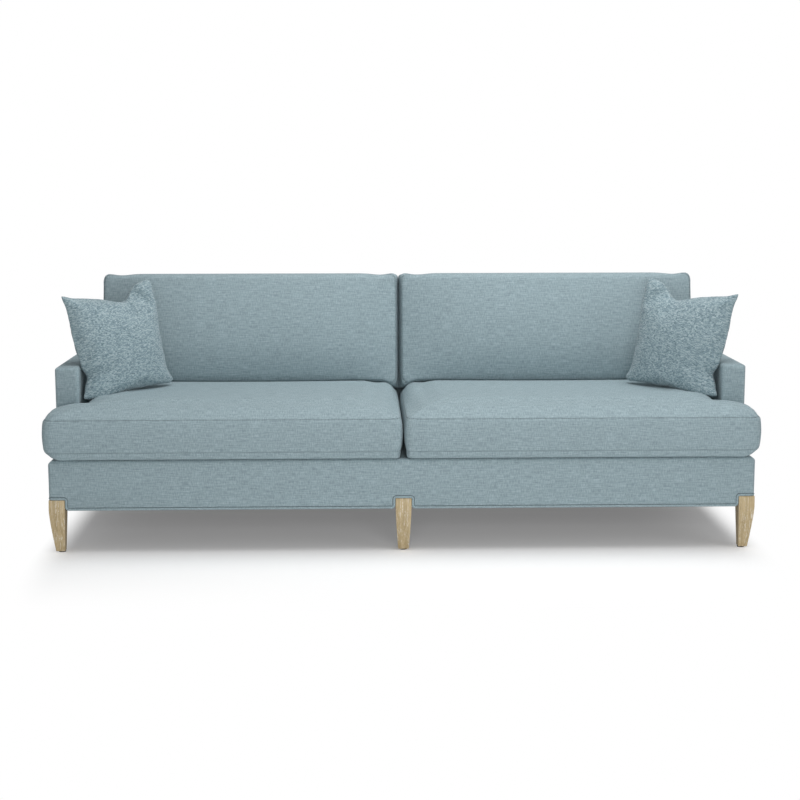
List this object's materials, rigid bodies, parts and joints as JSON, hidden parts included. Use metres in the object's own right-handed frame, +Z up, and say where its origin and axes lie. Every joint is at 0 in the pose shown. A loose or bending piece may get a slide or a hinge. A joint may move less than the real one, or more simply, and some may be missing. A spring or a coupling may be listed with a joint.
{
  "type": "two-seat sofa",
  "caption": "Two-seat sofa with slim track arms, loose T-shaped seat cushions, boxed back cushions, corner pillows and tapered square wooden legs.",
  "frame": {"origin": "on the floor, under the middle of the sofa's overall box", "axes": "+X along the sofa to the right as seen from the front, +Y towards the back, +Z up; the front faces -Y"},
  "size_m": [2.424, 0.938, 0.9047],
  "materials": {
    "frame_wood": "planed softwood, unfinished",
    "leg_oak": "limed oak, pale grain, matt lacquer",
    "bolt_steel": "zinc plated",
    "glide_nylon": "moulded nylon",
    "webbing": "woven elastic webbing",
    "under_cloth": "black non-woven cloth",
    "linen": "blue-grey slubbed linen weave",
    "pillow_weave": "coarse slate blue and cream tweed weave"
  },
  "bodies": {
    "frame": {"front_rail": "frame_wood", "back_rail": "frame_wood", "side_rail_l": "frame_wood", "side_rail_r": "frame_wood", "centre_rail": "frame_wood", "leg_fl": "leg_oak", "leg_fc": "leg_oak", "leg_fr": "leg_oak", "leg_rl": "leg_oak", "leg_rc": "leg_oak", "leg_rr": "leg_oak", "leg_bolt_fl": "bolt_steel", "leg_bolt_fc": "bolt_steel", "leg_bolt_fr": "bolt_steel", "leg_bolt_rl": "bolt_steel", "leg_bolt_rc": "bolt_steel", "leg_bolt_rr": "bolt_steel", "glide_fl": "glide_nylon", "glide_fc": "glide_nylon", "glide_fr": "glide_nylon", "glide_rl": "glide_nylon", "glide_rc": "glide_nylon", "glide_rr": "glide_nylon", "seat_webbing_l": "webbing", "seat_webbing_r": "webbing", "deck_pad": "under_cloth", "deck_cloth": "linen", "dust_cover": "under_cloth", "base_cover_front": "linen", "base_cover_back": "linen", "base_cover_l": "linen", "base_cover_r": "linen", "welt_front": "linen", "welt_back": "linen", "welt_l": "linen", "welt_r": "linen", "arm_frame_l": "frame_wood", "arm_frame_r": "frame_wood", "arm_cover_inner_l": "linen", "arm_cover_inner_r": "linen", "arm_cover_outer_l": "linen", "arm_cover_outer_r": "linen", "arm_cover_front_l": "linen", "arm_cover_front_r": "linen", "back_top_rail": "frame_wood", "back_post_l": "frame_wood", "back_post_c": "frame_wood", "back_post_r": "frame_wood", "inside_back_cover": "linen", "outside_back_cover": "linen", "back_end_cover_l": "linen", "back_end_cover_r": "linen"},
    "seat_l": {"seat_cushion_l": "linen"},
    "seat_r": {"seat_cushion_r": "linen"},
    "back_cushion_body_l": {"back_cushion_l": "linen"},
    "back_cushion_body_r": {"back_cushion_r": "linen"},
    "pillow_body_l": {"pillow_l": "pillow_weave"},
    "pillow_body_r": {"pillow_r": "pillow_weave"}
  },
  "joints": [
    {"name": "seat_cushion_l_out", "type": "slide", "parent": "frame", "child": "seat_l", "axis": [0, -1, 0], "range_m": [0, 0.8]},
    {"name": "back_cushion_l_lift", "type": "slide", "parent": "frame", "child": "back_cushion_body_l", "axis": [0, 0.225, 0.9744], "range_m": [0, 0.5]},
    {"name": "pillow_l_lift", "type": "slide", "parent": "seat_l", "child": "pillow_body_l", "axis": [0, 0, 1], "range_m": [0, 0.5]},
    {"name": "seat_cushion_r_out", "type": "slide", "parent": "frame", "child": "seat_r", "axis": [0, -1, 0], "range_m": [0, 0.8]},
    {"name": "back_cushion_r_lift", "type": "slide", "parent": "frame", "child": "back_cushion_body_r", "axis": [0, 0.225, 0.9744], "range_m": [0, 0.5]},
    {"name": "pillow_r_lift", "type": "slide", "parent": "seat_r", "child": "pillow_body_r", "axis": [0, 0, 1], "range_m": [0, 0.5]}
  ]
}
